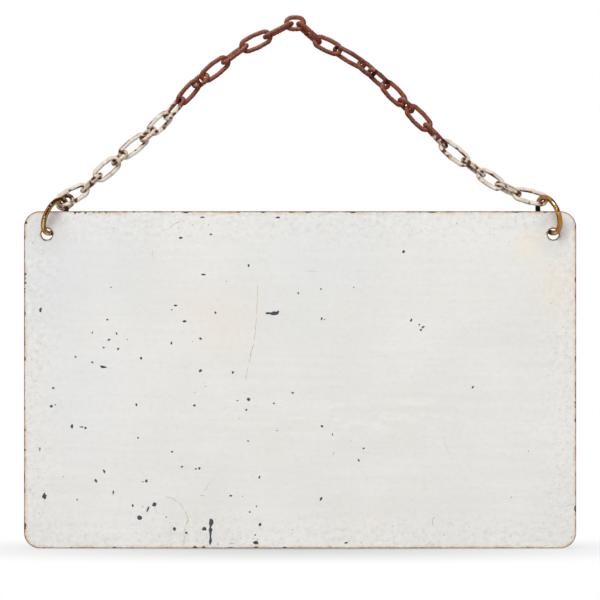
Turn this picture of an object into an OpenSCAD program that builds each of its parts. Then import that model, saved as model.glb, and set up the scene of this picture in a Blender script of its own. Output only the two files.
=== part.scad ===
// Blank painted tin sign that hangs from a nail by two runs of wire chain and two brass rings.
// Millimetres. X runs to the right, Z up, and the painted face looks along -Y.
// The origin is where the top link's upper side rests on its nail.

/* [Sign plate] */
// Width of the tin plate
plate_w = 330; // [270:1:370]
// Height of the tin plate
plate_h = 201.5; // [120:0.5:320]
// Thickness of the tin sheet
plate_t = 0.8; // [0.5:0.1:1.2]
// Radius of the plate's four rounded corners
corner_r = 9.5; // [2:0.5:30]
// Diameter of the two hanging holes
hole_d = 6.5; // [6:0.1:9]
// Distance from a hanging hole's centre to the plate's side edge
hole_side = 13.7; // [8:0.1:30]
// Distance from a hanging hole's centre to the plate's top edge
hole_top = 13.7; // [8:0.1:15]

/* [Brass rings] */
// Diameter of the brass wire
ring_wire = 3.1; // [2.4:0.1:3.4]
// Inside diameter of a ring
ring_inside = 19; // [17.5:0.1:21]
// Width of the seam where the ring's wire ends meet
ring_seam = 0.4; // [0.2:0.1:1]

/* [Chain] */
// Diameter of the chain wire
link_wire = 2.8; // [2.3:0.1:3.1]
// Room beside a neighbour's wire inside a link's round end
link_side_room = 1.3; // [1.2:0.1:2]
// Lean of a link's sides, from the round ends out to the bend at mid-length
link_flare = 5; // [2:0.5:9]
// Width of the seam at the bend in a link's side
link_seam = 0.4; // [0.2:0.1:0.8]
// Depth of the seams in the chain wire and the ring wire
seam_depth = 0.3; // [0.1:0.1:0.5]
// Room between two wires where one bears on the other
play = 0.4; // [0.3:0.05:0.6]
// Room for the nail inside the top link, between its neighbours' wires
nail_room = 1.8; // [1.4:0.1:6]

/* [Hidden] */
$fn = 48;
link_count = 14;
ring_r = (ring_inside + ring_wire) / 2;
bow_r = link_wire + link_side_room / 2;
// The wire is this much thicker round a bend than along the sides
bend_swell = 0.04;
// A link's sides start this far inside its bends, and the wire in a seam this far inside its ends
wire_lap = 0.1;
hole_span = plate_w - 2 * hole_side;

// Every link of a run from the top down: the free room inside it along its length,
// the slope of its long axis below the horizontal, and its roll out of the sign's plane.
left_rows = [
    [9.5, 27, 96], [10, 25, -9], [9, 36, 75], [10.3, 38, -27], [1.4, 37, 48],
    [8.3, 48, -42], [7, 48, 60], [7.5, 43, -33], [1.5, 42, 63], [10.3, 38, -30],
    [1.4, 43, 69], [8.3, 40, -6], [6, 42, 99], [10.5, 27, 15]
];
right_rows = [
    [8.5, 42, 72], [8, 26, -25], [11.5, 31, 52], [2.5, 39, -48], [6, 42, 54],
    [8.8, 46, -24], [1.4, 43, 63], [9.3, 46, -18], [9.5, 47, 78], [11, 39, -24],
    [7, 37, 75], [7.5, 33, -24], [6.5, 26, 69], [11, 14, -27]
];

// A ring's pose: the inward lean of the line from the plate's hole up to the last link, half the
// arc between those two places, and the turn of the ring's front out of the sign's plane.
left_ring_pose = [26, 86, 64];
right_ring_pose = [20, 76, 62];
// Where a ring's seam is, seen from the side that is away from the plate's middle
ring_seam_at = 20;
// Room between a ring's wire and the side of the plate's hole that bears on it
hole_play = 0.9;
// Distance of the ring wire's centre from the hole's centre, towards the last link
ring_rise = (hole_d - ring_wire) / 2 - hole_play;
// Slopes at which the left and the right run bear on the top link's round ends
top_slopes = [27, 42];
// The top link's roll out of the sign's plane
top_roll = -6;
// The spare link on the left ring, behind the last link: its free room, slope and roll, and its
// middle seen from where the ring bears in the last link
spare_row = [1, 29, 17];
spare_at = [0.7, 2.9, -1.35];

function link_name(side, i) = str(side, "_link_", i < 10 ? "0" : "", i);

// Lengths along a link: its inside, and from one bearing point to the next
function inside_of(room) = room + 2 * link_wire;
function pitch_of(room) = inside_of(room) - play;

// A run is drawn in its own frame, where X points away from the top link
function step_of(row, last) =
    (pitch_of(row[0]) - (last ? (play + ring_wire) / 2 : 0)) * [cos(row[1]), -sin(row[1])];
function reach(rows, n) =
    n == 0 ? [0, 0] : reach(rows, n - 1) + step_of(rows[n - 1], n == link_count);
function heading(v) = atan2(v[1], v[0]);
function turned(v, a) = [v[0] * cos(a) - v[1] * sin(a), v[0] * sin(a) + v[1] * cos(a)];
function flipped(v, sx) = [sx * v[0], v[1]];

// Places in the sign's plane, seen from the plate's middle between its holes
function hole_at(sx) = [sx * hole_span / 2, 0];
function ring_pose(sx) = sx < 0 ? left_ring_pose : right_ring_pose;
function ring_lean(sx) = [-sx * sin(ring_pose(sx)[0]), cos(ring_pose(sx)[0])];
function ring_chord(sx) = 2 * ring_r * sin(ring_pose(sx)[1]);
function ring_angle(width) = 2 * asin(width / 2 / ring_r);
function bearing_in_hole(sx) = hole_at(sx) + ring_rise * ring_lean(sx);
function bearing_in_link(sx) = bearing_in_hole(sx) + ring_chord(sx) * ring_lean(sx);

// The top link hangs level, its middle one side's bend below the nail
top_inside = inside_of(nail_room + play);
function side_at_bend(inside) = bow_r / cos(link_flare) + straight_from(inside) * tan(link_flare);
function straight_from(inside) = (inside + link_wire) / 2 - bow_r;
top_drop = side_at_bend(top_inside) * cos(top_roll) - link_wire / 2;
bow_bearing_r = bow_r - (link_wire + play) / 2;
function top_slope(sx) = sx < 0 ? top_slopes[0] : top_slopes[1];
function top_bearing(sx) = [
    sx * (straight_from(top_inside) + bow_bearing_r * cos(top_slope(sx))),
    -top_drop - bow_bearing_r * sin(top_slope(sx)) * cos(top_roll)
];

// The two runs hold the top link where their lengths meet above the rings
run_length = [norm(reach(left_rows, link_count)), norm(reach(right_rows, link_count))];
left_centre = bearing_in_link(-1) - top_bearing(-1);
right_centre = bearing_in_link(1) - top_bearing(1);
apart = norm(right_centre - left_centre);
left_angle = acos((pow(run_length[0], 2) + pow(apart, 2) - pow(run_length[1], 2))
    / (2 * run_length[0] * apart));
nail = left_centre + run_length[0]
    * turned([1, 0], heading(right_centre - left_centre) + left_angle);

// The same places, seen from the nail
function rows_of(sx) = sx < 0 ? left_rows : right_rows;
function rusty_links(sx) = sx < 0 ? 6 : 9;
function ring_bearing(sx) = bearing_in_link(sx) - nail;
function hole_bearing(sx) = bearing_in_hole(sx) - nail;
function run_turn(sx) =
    heading(ring_bearing(sx) - top_bearing(sx))
    - heading(flipped(reach(rows_of(sx), link_count), sx));
function bearing(sx, n) =
    top_bearing(sx) + turned(flipped(reach(rows_of(sx), n), sx), run_turn(sx));
function link_heading(sx, i) =
    heading(turned(flipped(step_of(rows_of(sx)[i - 1], false), sx), run_turn(sx)));

// One side of a link from the round end to the bend, cut square there for the seam
module link_side(inside) {
    straight = straight_from(inside);
    side = (straight + bow_r * sin(link_flare)) / cos(link_flare);
    intersection() {
        translate([straight + bow_r * sin(link_flare), bow_r * cos(link_flare), 0])
            rotate([0, 0, -link_flare])
                rotate([0, -90, 0])
                    translate([0, 0, -wire_lap])
                        cylinder(h = side + link_wire, d = link_wire - bend_swell);
        translate([link_seam / 2, 0, -link_wire])
            cube([inside, inside + 2 * link_wire, 2 * link_wire]);
    }
}

module link_half(inside) {
    translate([straight_from(inside), 0, 0])
        rotate([0, 0, link_flare - 90])
            rotate_extrude(angle = 180 - 2 * link_flare)
                translate([bow_r, 0])
                    circle(d = link_wire);
    link_side(inside);
    mirror([0, 1, 0])
        link_side(inside);
}

// A closed wire link about its middle, long along X, flat in the XY plane
module wire_link(inside) {
    link_half(inside);
    mirror([1, 0, 0])
        link_half(inside);
    for (y = [-1, 1])
        translate([0, y * side_at_bend(inside), 0])
            rotate([0, 90, 0])
                cylinder(h = link_seam + 2 * wire_lap, d = link_wire - 2 * seam_depth, center = true);
}

// Puts a link's middle at a place in the sign's plane, heading along it and rolled about itself
module place_link(at, head, roll) {
    translate([at[0], 0, at[1]])
        rotate([0, -head, 0])
            rotate([roll, 0, 0])
                rotate([90, 0, 0])
                    children();
}

module chain_link(sx, i) {
    row = rows_of(sx)[i - 1];
    head = link_heading(sx, i);
    middle = bearing(sx, i - 1) + pitch_of(row[0]) / 2 * [cos(head), sin(head)];
    color(i > rusty_links(sx) ? "linen" : "sienna")
        place_link(middle, head, row[2])
            wire_link(inside_of(row[0]));
}

module top_link() {
    color("sienna")
        place_link([0, -top_drop], 0, top_roll)
            wire_link(top_inside);
}

// The spare link lies just behind the last one, with the ring's wire through both
module left_spare_link() {
    color("linen")
        translate(spare_at)
            place_link(ring_bearing(-1), 180 + spare_row[1], spare_row[2])
                wire_link(inside_of(spare_row[0]));
}

// A ring about its own centre in the XY plane, with its seam at an angle from X
module wire_ring(seam_at) {
    seam = ring_angle(ring_seam);
    core = ring_angle(ring_seam + 2 * wire_lap);
    rotate([0, 0, seam_at + seam / 2])
        rotate_extrude(angle = 360 - seam)
            translate([ring_r, 0])
                circle(d = ring_wire);
    rotate([0, 0, seam_at - core / 2])
        rotate_extrude(angle = core)
            translate([ring_r, 0])
                circle(d = ring_wire - 2 * seam_depth);
}

// Puts a ring's wire through the plate's hole and through the last link
module place_ring(sx) {
    pose = ring_pose(sx);
    low = hole_bearing(sx);
    translate([low[0], 0, low[1]])
        rotate([0, -sx * pose[0], 0])
            rotate([0, 0, -sx * pose[2]])
                translate([sx * ring_r * cos(pose[1]), 0, ring_chord(sx) / 2])
                    rotate([90, 0, 0])
                        children();
}

module left_ring() {
    color("darkgoldenrod")
        place_ring(-1)
            wire_ring(180 + ring_seam_at);
}

module right_ring() {
    color("darkgoldenrod")
        place_ring(1)
            wire_ring(ring_seam_at);
}

module sign_plate() {
    top = hole_top - nail[1];
    color("gainsboro")
        translate([-nail[0], plate_t / 2, 0])
            rotate([90, 0, 0])
                linear_extrude(plate_t)
                    difference() {
                        union() {
                            translate([-plate_w / 2 + corner_r, top - plate_h])
                                square([plate_w - 2 * corner_r, plate_h]);
                            translate([-plate_w / 2, top - plate_h + corner_r])
                                square([plate_w, plate_h - 2 * corner_r]);
                            for (x = [-1, 1], z = [top - corner_r, top - plate_h + corner_r])
                                translate([x * (plate_w / 2 - corner_r), z])
                                    circle(r = corner_r);
                        }
                        for (x = [-1, 1])
                            translate(hole_at(x) - [0, nail[1]])
                                circle(d = hole_d);
                    }
}

sign_plate();
left_ring();
right_ring();
top_link();
left_spare_link();
for (i = [1:link_count]) {
    chain_link(-1, i);
    chain_link(1, i);
}
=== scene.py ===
"""Looks of the blank painted tin sign on its wire chain: metres, +X right, +Z up, painted face to -Y."""
import math

import bpy
import numpy as np
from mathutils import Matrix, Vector, noise


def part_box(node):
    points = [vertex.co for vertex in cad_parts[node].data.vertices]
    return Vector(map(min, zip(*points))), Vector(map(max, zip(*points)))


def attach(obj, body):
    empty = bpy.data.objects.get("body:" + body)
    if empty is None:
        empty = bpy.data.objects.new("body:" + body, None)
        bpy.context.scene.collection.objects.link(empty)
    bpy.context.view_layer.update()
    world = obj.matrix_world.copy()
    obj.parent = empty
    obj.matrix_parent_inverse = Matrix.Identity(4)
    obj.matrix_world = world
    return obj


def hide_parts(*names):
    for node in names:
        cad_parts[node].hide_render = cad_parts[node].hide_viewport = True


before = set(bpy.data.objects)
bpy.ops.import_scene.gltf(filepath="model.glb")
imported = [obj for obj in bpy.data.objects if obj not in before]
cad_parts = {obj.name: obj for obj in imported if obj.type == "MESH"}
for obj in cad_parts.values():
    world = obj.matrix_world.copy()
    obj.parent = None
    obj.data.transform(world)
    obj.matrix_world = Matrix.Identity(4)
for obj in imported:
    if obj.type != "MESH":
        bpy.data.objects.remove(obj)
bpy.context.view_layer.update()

# Real sizes, in metres
MM = 0.001
PLATE_LOW, PLATE_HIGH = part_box("sign_plate")
PLATE_W = PLATE_HIGH.x - PLATE_LOW.x
PLATE_H = PLATE_HIGH.z - PLATE_LOW.z
PLATE_MID = Vector(((PLATE_LOW.x + PLATE_HIGH.x) / 2, 0, (PLATE_LOW.z + PLATE_HIGH.z) / 2))
CORNER_R = 9.5 * MM
HOLE_R = 3.25 * MM
HOLE_INSET = 13.7 * MM
HOLES = [Vector((PLATE_LOW.x + HOLE_INSET, 0, PLATE_HIGH.z - HOLE_INSET)),
         Vector((PLATE_HIGH.x - HOLE_INSET, 0, PLATE_HIGH.z - HOLE_INSET))]
PAINT_T = 0.14 * MM
# How far the paint is gone round a hole, and how much that varies
HOLE_CHIPPED, HOLE_RAGGED = 0.35 * MM, 0.55 * MM
# The least and the most that the paint stands back from the plate's edge, apart from EDGE_BITES
PAINT_BACK_LEAST, PAINT_BACK_MOST = 0.06 * MM, 1.2 * MM
LINK_WIRE_R = 1.4 * MM
LINK_BOW_R = 3.45 * MM
LINK_FLARE = math.radians(5)
RING_WIRE_R = 1.55 * MM
# Sides of a wire's section, and the points along a link's side, a link's bow and a ring
LINK_SIDES, RING_SIDES = 16, 32
SIDE_STEPS, BOW_STEPS, RING_STEPS = 14, 26, 220
# Where a wire has extra points beside the middle of its seam, and where the even ones start
LINK_SEAM_STEPS, LINK_EVEN_FROM = np.array([0.0, 0.12, 0.2, 0.24, 0.4]) * MM, 0.6 * MM
RING_SEAM_STEPS, RING_EVEN_FROM = np.array([0.0, 0.1, 0.2, 0.26, 0.4]) * MM, 0.8 * MM
# Stands for a place that is far from every seam
FAR = 9.0

# The photograph's frame, and where the plate's left and top edges are in it, in pixels
FRAME_PX = 600
PLATE_LEFT_PX, PLATE_RIGHT_PX, PLATE_TOP_PX = 24.0, 576.2, 211.2
PX = PLATE_W / (PLATE_RIGHT_PX - PLATE_LEFT_PX)
CAMERA_AWAY = 3.0
SENSOR_MM = 36
CAMERA_REACH = 20
FLOOR_SIZE, FLOOR_BELOW, FLOOR_GREY = 12, 0.6 * MM, 0.6
# Share of plain white in the floor near the object, as the camera sees it: the rest takes the shadow
FLOOR_GLOW = 0.25
# Distances from the plate's foot at which the white starts to rise and is full, and their stretch along X
GLOW_FROM, GLOW_TO, GLOW_ALONG = -0.03, 0.19, 0.6
WORLD_LIGHT = 0.36
# Name, place, size in metres and power in watts
LAMPS = [("key", (-0.45, -3.4, 2.2), 2.2, 124), ("behind", (0.1, 1.5, 1.6), 1.5, 14)]


def at(px, py):
    """The place on the plate's face that shows at a pixel of the photograph, as (x, z)."""
    return PLATE_LOW.x + (px - PLATE_LEFT_PX) * PX, PLATE_HIGH.z - (py - PLATE_TOP_PX) * PX


def srgb(r, g, b):
    """A colour as it is seen, 0 to 255, in the linear values that a shader takes."""
    return tuple((c / 255 / 12.92) if c <= 10 else ((c / 255 + 0.055) / 1.055) ** 2.4 for c in (r, g, b)) + (1,)


def smooth(value, low, high):
    """0 below low, 1 above high, and smooth between."""
    t = min(max((value - low) / (high - low), 0.0), 1.0)
    return t * t * (3 - 2 * t)


# Stage: camera, light, floor
def make_camera():
    data = bpy.data.cameras.new("camera")
    data.sensor_width = SENSOR_MM
    data.lens = SENSOR_MM * CAMERA_AWAY / (FRAME_PX * PX)
    data.clip_end = CAMERA_REACH
    camera = bpy.data.objects.new("camera", data)
    x, z = at(FRAME_PX / 2, FRAME_PX / 2)
    camera.location = (x, PLATE_LOW.y - CAMERA_AWAY, z)
    camera.rotation_euler = (math.pi / 2, 0, 0)
    bpy.context.scene.collection.objects.link(camera)
    bpy.context.scene.camera = camera


def area_light(name, place, size, power):
    """A round soft lamp that faces the plate's middle."""
    data = bpy.data.lights.new(name, "AREA")
    data.shape = "DISK"
    data.size = size
    data.energy = power
    light = bpy.data.objects.new(name, data)
    light.location = place
    light.rotation_euler = (PLATE_MID - Vector(place)).to_track_quat("-Z", "Y").to_euler()
    bpy.context.scene.collection.objects.link(light)


class Nodes:
    """Short calls to build a material's node tree."""

    def __init__(self, tree):
        self.tree = tree

    def add(self, kind, values=(), **settings):
        node = self.tree.nodes.new(kind)
        for key, value in settings.items():
            setattr(node, key, value)
        for key, value in dict(values).items():
            if isinstance(value, bpy.types.NodeSocket):
                self.tree.links.new(value, node.inputs[key])
            else:
                node.inputs[key].default_value = value
        return node

    def math(self, how, a, b=0.0, c=0.0):
        return self.add("ShaderNodeMath", {0: a, 1: b, 2: c}, operation=how).outputs[0]

    def vector(self, how, a, b=(0, 0, 0)):
        node = self.add("ShaderNodeVectorMath", {0: a, 1: b}, operation=how)
        return node.outputs["Value" if how in ("LENGTH", "DISTANCE") else "Vector"]

    def ramp(self, value, low, high):
        """0 at low, 1 at high, and smooth between. Low may be the larger one: then it falls."""
        return self.add("ShaderNodeMapRange", {0: value, 1: low, 2: high, 3: 0.0, 4: 1.0},
                        interpolation_type="SMOOTHSTEP").outputs[0]

    def noise(self, coord, per_metre, detail=3.0, rough=0.55, stretch=(1, 1, 1)):
        scaled = self.vector("MULTIPLY", coord, stretch)
        return self.add("ShaderNodeTexNoise",
                        {"Vector": scaled, "Scale": per_metre, "Detail": detail, "Roughness": rough}).outputs[0]

    def mix_colour(self, share, a, b):
        node = self.tree.nodes.new("ShaderNodeMix")
        node.data_type = "RGBA"
        for socket, value in ((node.inputs[0], share), (node.inputs[6], a), (node.inputs[7], b)):
            if isinstance(value, bpy.types.NodeSocket):
                self.tree.links.new(value, socket)
            else:
                socket.default_value = value
        return node.outputs[2]

    def over(self, colour, share, tint, most=1.0):
        """A colour with a tint of 0 to 255 laid over it, at a share that is scaled to reach most."""
        return self.mix_colour(share if most == 1.0 else self.math("MULTIPLY", share, most), colour, srgb(*tint))

    def bump(self, height, strength, distance):
        return self.add("ShaderNodeBump", {"Height": height, "Strength": strength, "Distance": distance}).outputs[0]


def new_material(name):
    """A material with its node helper, its shader and the piece's own coordinates in metres."""
    material = bpy.data.materials.new(name)
    material.use_nodes = True
    nodes = Nodes(material.node_tree)
    shader = material.node_tree.nodes["Principled BSDF"]
    coord = nodes.add("ShaderNodeTexCoord").outputs["Object"]
    return material, nodes, shader, coord


def connect(nodes, shader, **sockets):
    """Links each value to the shader's socket of that name, or sets a constant there."""
    for key, value in sockets.items():
        socket = shader.inputs[key.replace("_", " ")]
        if isinstance(value, bpy.types.NodeSocket):
            nodes.tree.links.new(value, socket)
        else:
            socket.default_value = value


def seen_directly(nodes):
    """1 for what the camera sees itself, mirrored or through something, 0 for light on the object."""
    path = nodes.add("ShaderNodeLightPath").outputs
    seen = nodes.math("MAXIMUM", path["Is Camera Ray"], path["Is Glossy Ray"])
    return nodes.math("MAXIMUM", seen, path["Is Transmission Ray"])


def make_stage():
    world = bpy.data.worlds.new("studio")
    world.use_nodes = True
    bpy.context.scene.world = world
    nodes = Nodes(world.node_tree)
    strength = nodes.math("MULTIPLY_ADD", seen_directly(nodes), 1 - WORLD_LIGHT, WORLD_LIGHT)
    background = world.node_tree.nodes["Background"]
    background.inputs["Color"].default_value = (1, 1, 1, 1)
    world.node_tree.links.new(strength, background.inputs["Strength"])

    bpy.ops.mesh.primitive_plane_add(size=FLOOR_SIZE, location=(PLATE_MID.x, 0, PLATE_LOW.z - FLOOR_BELOW))
    floor = bpy.context.object
    floor.name = "floor"
    material = bpy.data.materials.new("floor_paper")
    material.use_nodes = True
    nodes = Nodes(material.node_tree)
    diffuse = nodes.add("ShaderNodeBsdfDiffuse", {"Color": (FLOOR_GREY, FLOOR_GREY, FLOOR_GREY, 1)})
    glow = nodes.add("ShaderNodeEmission", {"Color": (1, 1, 1, 1), "Strength": 1.0})
    coord = nodes.add("ShaderNodeTexCoord").outputs["Object"]
    away = nodes.vector("LENGTH", nodes.vector("MULTIPLY", coord, (GLOW_ALONG, 1, 1)))
    glow_share = nodes.math("MULTIPLY_ADD", nodes.ramp(away, GLOW_FROM, GLOW_TO), 1 - FLOOR_GLOW, FLOOR_GLOW)
    share = nodes.math("MULTIPLY", seen_directly(nodes), glow_share)
    both = nodes.add("ShaderNodeMixShader", {0: share, 1: diffuse.outputs[0], 2: glow.outputs[0]})
    output = material.node_tree.nodes["Material Output"]
    material.node_tree.links.new(both.outputs[0], output.inputs["Surface"])
    floor.data.materials.append(material)

    for lamp in LAMPS:
        area_light(*lamp)


# Plate
def edge_inside(nodes, coord):
    """How far a place is inside the plate's rounded outline, in millimetres."""
    flat = nodes.vector("MULTIPLY", nodes.vector("SUBTRACT", coord, tuple(PLATE_MID)), (1, 0, 1))
    reach = (PLATE_W / 2 - CORNER_R, 0, PLATE_H / 2 - CORNER_R)
    past = nodes.vector("SUBTRACT", nodes.vector("ABSOLUTE", flat), reach)
    split = nodes.add("ShaderNodeSeparateXYZ", {0: past}).outputs
    deep = nodes.math("MINIMUM", nodes.math("MAXIMUM", split["X"], split["Z"]), 0.0)
    round_part = nodes.vector("LENGTH", nodes.vector("MAXIMUM", past, (0, 0, 0)))
    outside = nodes.math("SUBTRACT", nodes.math("ADD", round_part, deep), CORNER_R)
    return nodes.math("MULTIPLY", outside, -1 / MM)


def hole_away(nodes, coord):
    """Distance from the nearer hole's centre, in millimetres."""
    flat = nodes.vector("MULTIPLY", coord, (1, 0, 1))
    away = [nodes.vector("DISTANCE", flat, tuple(Vector((h.x, 0, h.z)))) for h in HOLES]
    return nodes.math("MULTIPLY", nodes.math("MINIMUM", *away), 1 / MM)


# Broad tints of the paint: colour, middle in pixels, plain and fading reach in pixels, share. The three small grey ones
# beside the holes are painted shadow of the rings
TINTS = [
    ((234, 222, 206), (222, 318), 12, 62, 0.36), ((236, 224, 206), (528, 246), 4, 26, 0.5),
    ((220, 222, 226), (70, 400), 30, 130, 0.2), ((216, 218, 221), (60, 250), 20, 110, 0.5),
    ((220, 221, 221), (300, 240), 30, 160, 0.3), ((221, 223, 226), (470, 490), 20, 120, 0.1),
    ((222, 223, 226), (330, 250), 10, 60, 0.25), ((192, 190, 186), (60, 219), 2, 12, 0.5),
    ((200, 199, 196), (544, 220), 2, 11, 0.4), ((200, 199, 196), (569, 227), 2, 11, 0.4),
    ((232, 218, 200), (560, 290), 3, 40, 0.4),
]
# Faint pale ridges in the paint: middle in pixels, squeeze along X, plain and fading reach in pixels
RIDGES_AT, RIDGES_SQUEEZE, RIDGES_PLAIN, RIDGES_FADE = (366, 416), 0.17, 8, 26


def paint_material():
    """Old off-white oil paint: brushed level, yellowed in clouds, rust-stained along edges and holes."""
    material, nodes, shader, coord = new_material("off_white_paint")
    clouds = nodes.noise(coord, 14, 4)
    warm = nodes.noise(nodes.vector("ADD", coord, (3, 1, 2)), 22, 3)
    brush = nodes.noise(coord, 260, 5, 0.6, stretch=(0.045, 1, 1))
    fine = nodes.noise(coord, 1500, 3, 0.6, stretch=(0.25, 1, 1))
    colour = nodes.mix_colour(nodes.ramp(clouds, 0.35, 0.65), srgb(227, 226, 222), srgb(232, 231, 228))
    colour = nodes.over(colour, nodes.ramp(warm, 0.5, 0.72), (232, 226, 214), 0.5)
    streak = nodes.math("ADD", nodes.math("MULTIPLY", nodes.ramp(brush, 0.3, 0.7), 0.6),
                        nodes.math("MULTIPLY", nodes.ramp(fine, 0.3, 0.7), 0.4))
    colour = nodes.over(colour, streak, (210, 209, 205), 0.3)
    # Each tint laid over the paint; the small grey ones beside the holes are painted shadow of the rings
    for tint, place, core, reach, share in TINTS:
        x, z = at(*place)
        away = nodes.vector("DISTANCE", nodes.vector("MULTIPLY", coord, (1, 0, 1)), (x, 0, z))
        blur = nodes.math("MULTIPLY_ADD", clouds, reach * PX, away)
        colour = nodes.over(colour, nodes.ramp(blur, reach * 1.5 * PX, (core + reach / 2) * PX), tint, share)

    x, z = at(*RIDGES_AT)
    squeezed = nodes.vector("MULTIPLY", coord, (RIDGES_SQUEEZE, 0, 1))
    away = nodes.vector("DISTANCE", squeezed, (x * RIDGES_SQUEEZE, 0, z))
    ridges = nodes.ramp(nodes.noise(coord, 150, 3, 0.5, stretch=(0.3, 1, 1)), 0.5, 0.62)
    ridges = nodes.math("MULTIPLY", nodes.ramp(away, RIDGES_FADE * PX, RIDGES_PLAIN * PX), ridges)
    colour = nodes.over(colour, ridges, (240, 239, 236), 0.4)

    # The mottled border, then the rust that creeps in from the edge. Distances are in millimetres from here on
    edge = edge_inside(nodes, coord)
    border = nodes.ramp(nodes.math("MULTIPLY_ADD", clouds, 12.0, edge), 34.0, 8.0)
    mottle = nodes.noise(nodes.vector("ADD", coord, (2, 8, 6)), 330, 4, 0.65)
    dull = nodes.math("MULTIPLY", nodes.ramp(mottle, 0.5, 0.72), nodes.math("MULTIPLY_ADD", border, 0.5, 0.2))
    colour = nodes.over(colour, dull, (206, 203, 197))
    pale = nodes.math("MULTIPLY", nodes.ramp(mottle, 0.5, 0.3), nodes.math("MULTIPLY_ADD", border, 0.5, 0.1))
    colour = nodes.over(colour, pale, (238, 237, 234))
    ragged = nodes.noise(coord, 420, 4, 0.65)
    patches = nodes.noise(nodes.vector("ADD", coord, (5, 5, 5)), 60, 2)
    wobble = nodes.math("MULTIPLY_ADD", ragged, 3.2, -1.6)
    stain = nodes.math("MULTIPLY", nodes.ramp(nodes.math("ADD", edge, wobble), 2.6, 0.2),
                       nodes.ramp(patches, 0.38, 0.62))
    colour = nodes.over(colour, stain, (204, 158, 98), 0.6)
    line = nodes.ramp(nodes.math("MULTIPLY_ADD", wobble, 0.35, edge), 1.0, 0.3)
    colour = nodes.over(colour, line, (148, 100, 54), 0.8)

    hole = hole_away(nodes, coord)
    colour = nodes.over(colour, nodes.ramp(nodes.math("ADD", hole, wobble), 4.9, 3.2), (168, 108, 48), 0.8)
    # Painted shade of the rings: a faint grey round each hole
    painted_ring_shade = nodes.ramp(nodes.math("MULTIPLY_ADD", wobble, 3.0, hole), 18, 5)
    colour = nodes.over(colour, painted_ring_shade, (150, 148, 146), 0.12)

    specks = nodes.noise(nodes.vector("ADD", coord, (9, 2, 4)), 900, 2, 0.5)
    near_edge = nodes.ramp(edge, 30.0, 4.0)
    speck = nodes.math("MULTIPLY", nodes.ramp(specks, 0.69, 0.75), nodes.math("MULTIPLY_ADD", near_edge, 0.8, 0.2))
    colour = nodes.over(colour, speck, (170, 126, 76), 0.8)

    height = nodes.math("ADD", nodes.math("MULTIPLY", brush, 0.7), nodes.math("MULTIPLY", fine, 0.3))
    connect(nodes, shader, Base_Color=colour, Normal=nodes.bump(height, 0.35, 0.00015),
            Roughness=nodes.math("MULTIPLY_ADD", brush, 0.2, 0.42))
    return material


def primer_material():
    """Dark blue-grey primer on tin, rusted brown along the edges and the holes."""
    material, nodes, shader, coord = new_material("primer_on_tin")
    speckle = nodes.noise(coord, 700, 4, 0.6)
    broad = nodes.noise(coord, 35, 3)
    colour = nodes.mix_colour(nodes.ramp(speckle, 0.35, 0.7), srgb(44, 50, 62), srgb(66, 72, 84))
    ragged = nodes.noise(coord, 500, 4, 0.65)
    wobble = nodes.math("MULTIPLY_ADD", ragged, 3.0, -1.5)
    rim = nodes.ramp(nodes.math("ADD", edge_inside(nodes, coord), wobble), 1.8, 0.9)
    bore = nodes.ramp(nodes.math("ADD", hole_away(nodes, coord), wobble), 5.4, 4.2)
    spots = nodes.math("MULTIPLY", nodes.ramp(broad, 0.6, 0.75), nodes.ramp(ragged, 0.5, 0.6))
    rust_at = nodes.math("MAXIMUM", nodes.math("MAXIMUM", rim, bore), nodes.math("MULTIPLY", spots, 0.6))
    rust = nodes.mix_colour(nodes.ramp(speckle, 0.42, 0.6), srgb(40, 22, 10), srgb(128, 80, 36))
    dark = nodes.noise(nodes.vector("ADD", coord, (7, 7, 1)), 260, 3)
    rust = nodes.over(rust, nodes.ramp(dark, 0.54, 0.6), (44, 28, 18))
    connect(nodes, shader, Base_Color=nodes.mix_colour(rust_at, colour, rust),
            Normal=nodes.bump(ragged, 0.5, 0.0003), Roughness=0.7)
    return material


def rust_stain_material():
    """Ochre rust that shows through cracks in the paint."""
    material, nodes, shader, coord = new_material("ochre_stain")
    grain = nodes.noise(coord, 900, 4, 0.6)
    colour = nodes.mix_colour(nodes.ramp(grain, 0.35, 0.65), srgb(176, 132, 84), srgb(214, 178, 132))
    connect(nodes, shader, Base_Color=colour, Normal=nodes.bump(grain, 0.4, 0.0002), Roughness=0.8)
    return material


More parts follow.
